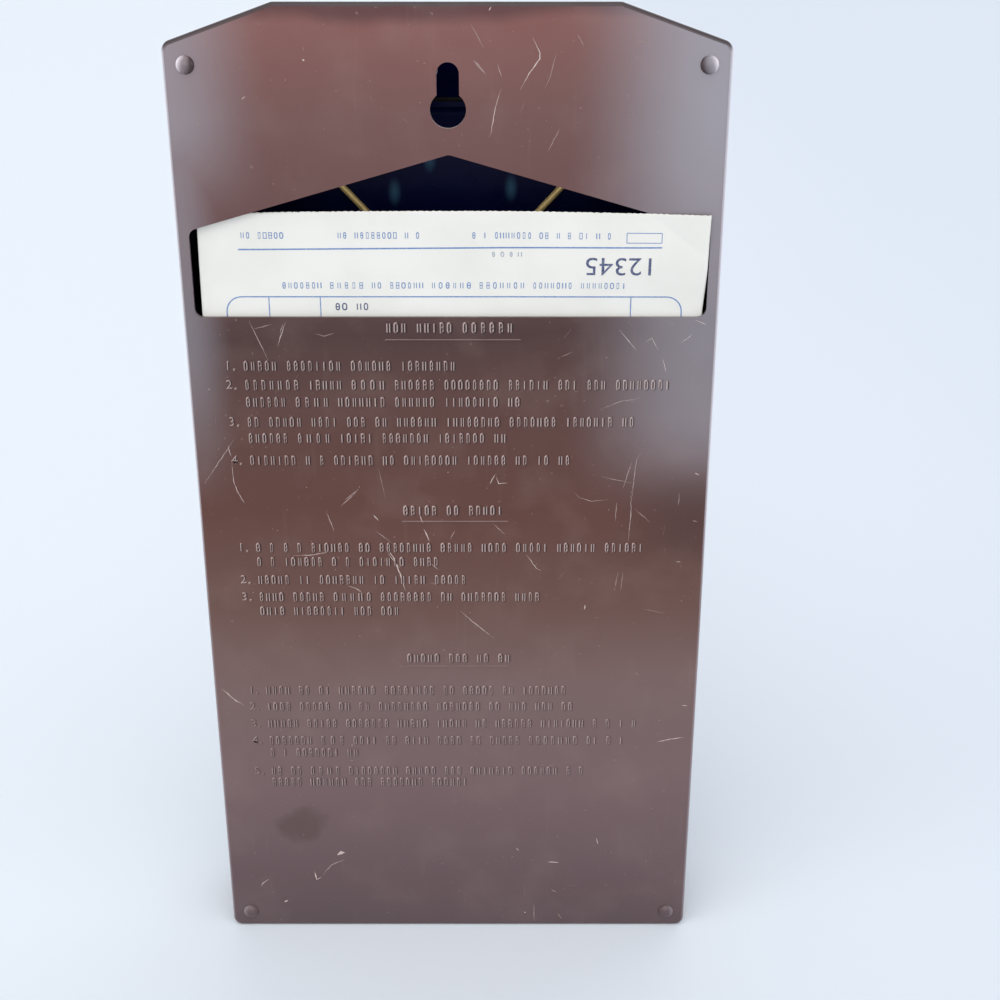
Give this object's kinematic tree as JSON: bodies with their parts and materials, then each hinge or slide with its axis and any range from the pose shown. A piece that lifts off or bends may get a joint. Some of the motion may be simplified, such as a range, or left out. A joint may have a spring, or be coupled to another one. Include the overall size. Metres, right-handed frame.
{
  "type": "autographic register",
  "caption": "Shallow sheet-metal counter register for numbered forms, with a writing window, tear bar, sprung release lever, rear latch and hinged cover.",
  "frame": {"origin": "bottom centre of the bounding box, under the middle of the front end that the part stands on", "axes": "+Z from the front (tear-off) end to the rear end with the keyhole, +Y from the underside to the cover, +X to the right as the underside is looked at"},
  "size_m": [0.1484, 0.039, 0.2904],
  "materials": {
    "case_enamel": "semi-gloss brown enamel on pressed sheet steel, lightly scratched",
    "button_plastic": "moulded",
    "form_paper": "uncoated, printed blue",
    "copy_paper": "thin, uncoated",
    "plate_enamel": "gloss black enamel on sheet steel",
    "gold_wire": "dull drawn wire",
    "plated_steel": "zinc plated",
    "spring_steel": "oiled",
    "pin_steel": "polished"
  },
  "bodies": {
    "base": {"base_tray": "case_enamel", "lever_shaft": "plated_steel", "shaft_clips": "spring_steel", "last_form_original": "form_paper", "last_form_copy": "copy_paper", "left_lever_spring": "spring_steel", "right_lever_spring": "spring_steel"},
    "plate": {"writing_plate": "plate_enamel", "form_hold_down_wire": "gold_wire", "wire_straps": "plated_steel", "top_form_original": "form_paper", "top_form_copy": "copy_paper"},
    "release": {"release_lever": "plated_steel", "left_feed_pin": "pin_steel", "right_feed_pin": "pin_steel"},
    "button": {"release_button": "button_plastic"},
    "cover": {"cover_shell": "case_enamel", "tear_bar": "pin_steel", "form_guide": "plated_steel", "cover_rivets": "plated_steel", "latch_foot": "spring_steel", "latch_rivets": "plated_steel"},
    "latch": {"latch_leaf": "spring_steel", "latch_pad": "button_plastic"}
  },
  "joints": [
    {"name": "cover_tilt", "type": "hinge", "parent": "base", "child": "cover", "pos_m": [0, -0.0085, 0.006], "axis": [-1, 0, 0], "range_deg": [0, 35]},
    {"name": "plate_tilt", "type": "hinge", "parent": "base", "child": "plate", "pos_m": [0, 0.00975, 0.0023], "axis": [-1, 0, 0], "range_deg": [0, 17.5]},
    {"name": "release_press", "type": "hinge", "parent": "base", "child": "release", "pos_m": [0, 0.002, 0.082], "axis": [-1, 0, 0], "range_deg": [0, 7], "stiffness_Nm_per_rad": 0.6, "springref_deg": -5.73, "deforming": ["left_lever_spring", "right_lever_spring"]},
    {"name": "button_press", "type": "slide", "parent": "cover", "child": "button", "axis": [0, -1, 0], "range_m": [0, 0.0018]},
    {"name": "latch_push", "type": "hinge", "parent": "cover", "child": "latch", "pos_m": [0, 0.0149, 0.28352], "axis": [1, 0, 0], "range_deg": [0, 9], "stiffness_Nm_per_rad": 0.5, "springref_deg": -2.86, "deforming": ["latch_leaf"]}
  ],
  "couplings": [
    {"joint": "plate_tilt", "follows": "cover_tilt", "ratio": 0.5},
    {"joint": "button_press", "follows": "release_press", "m_per_rad": 0.0145}
  ]
}
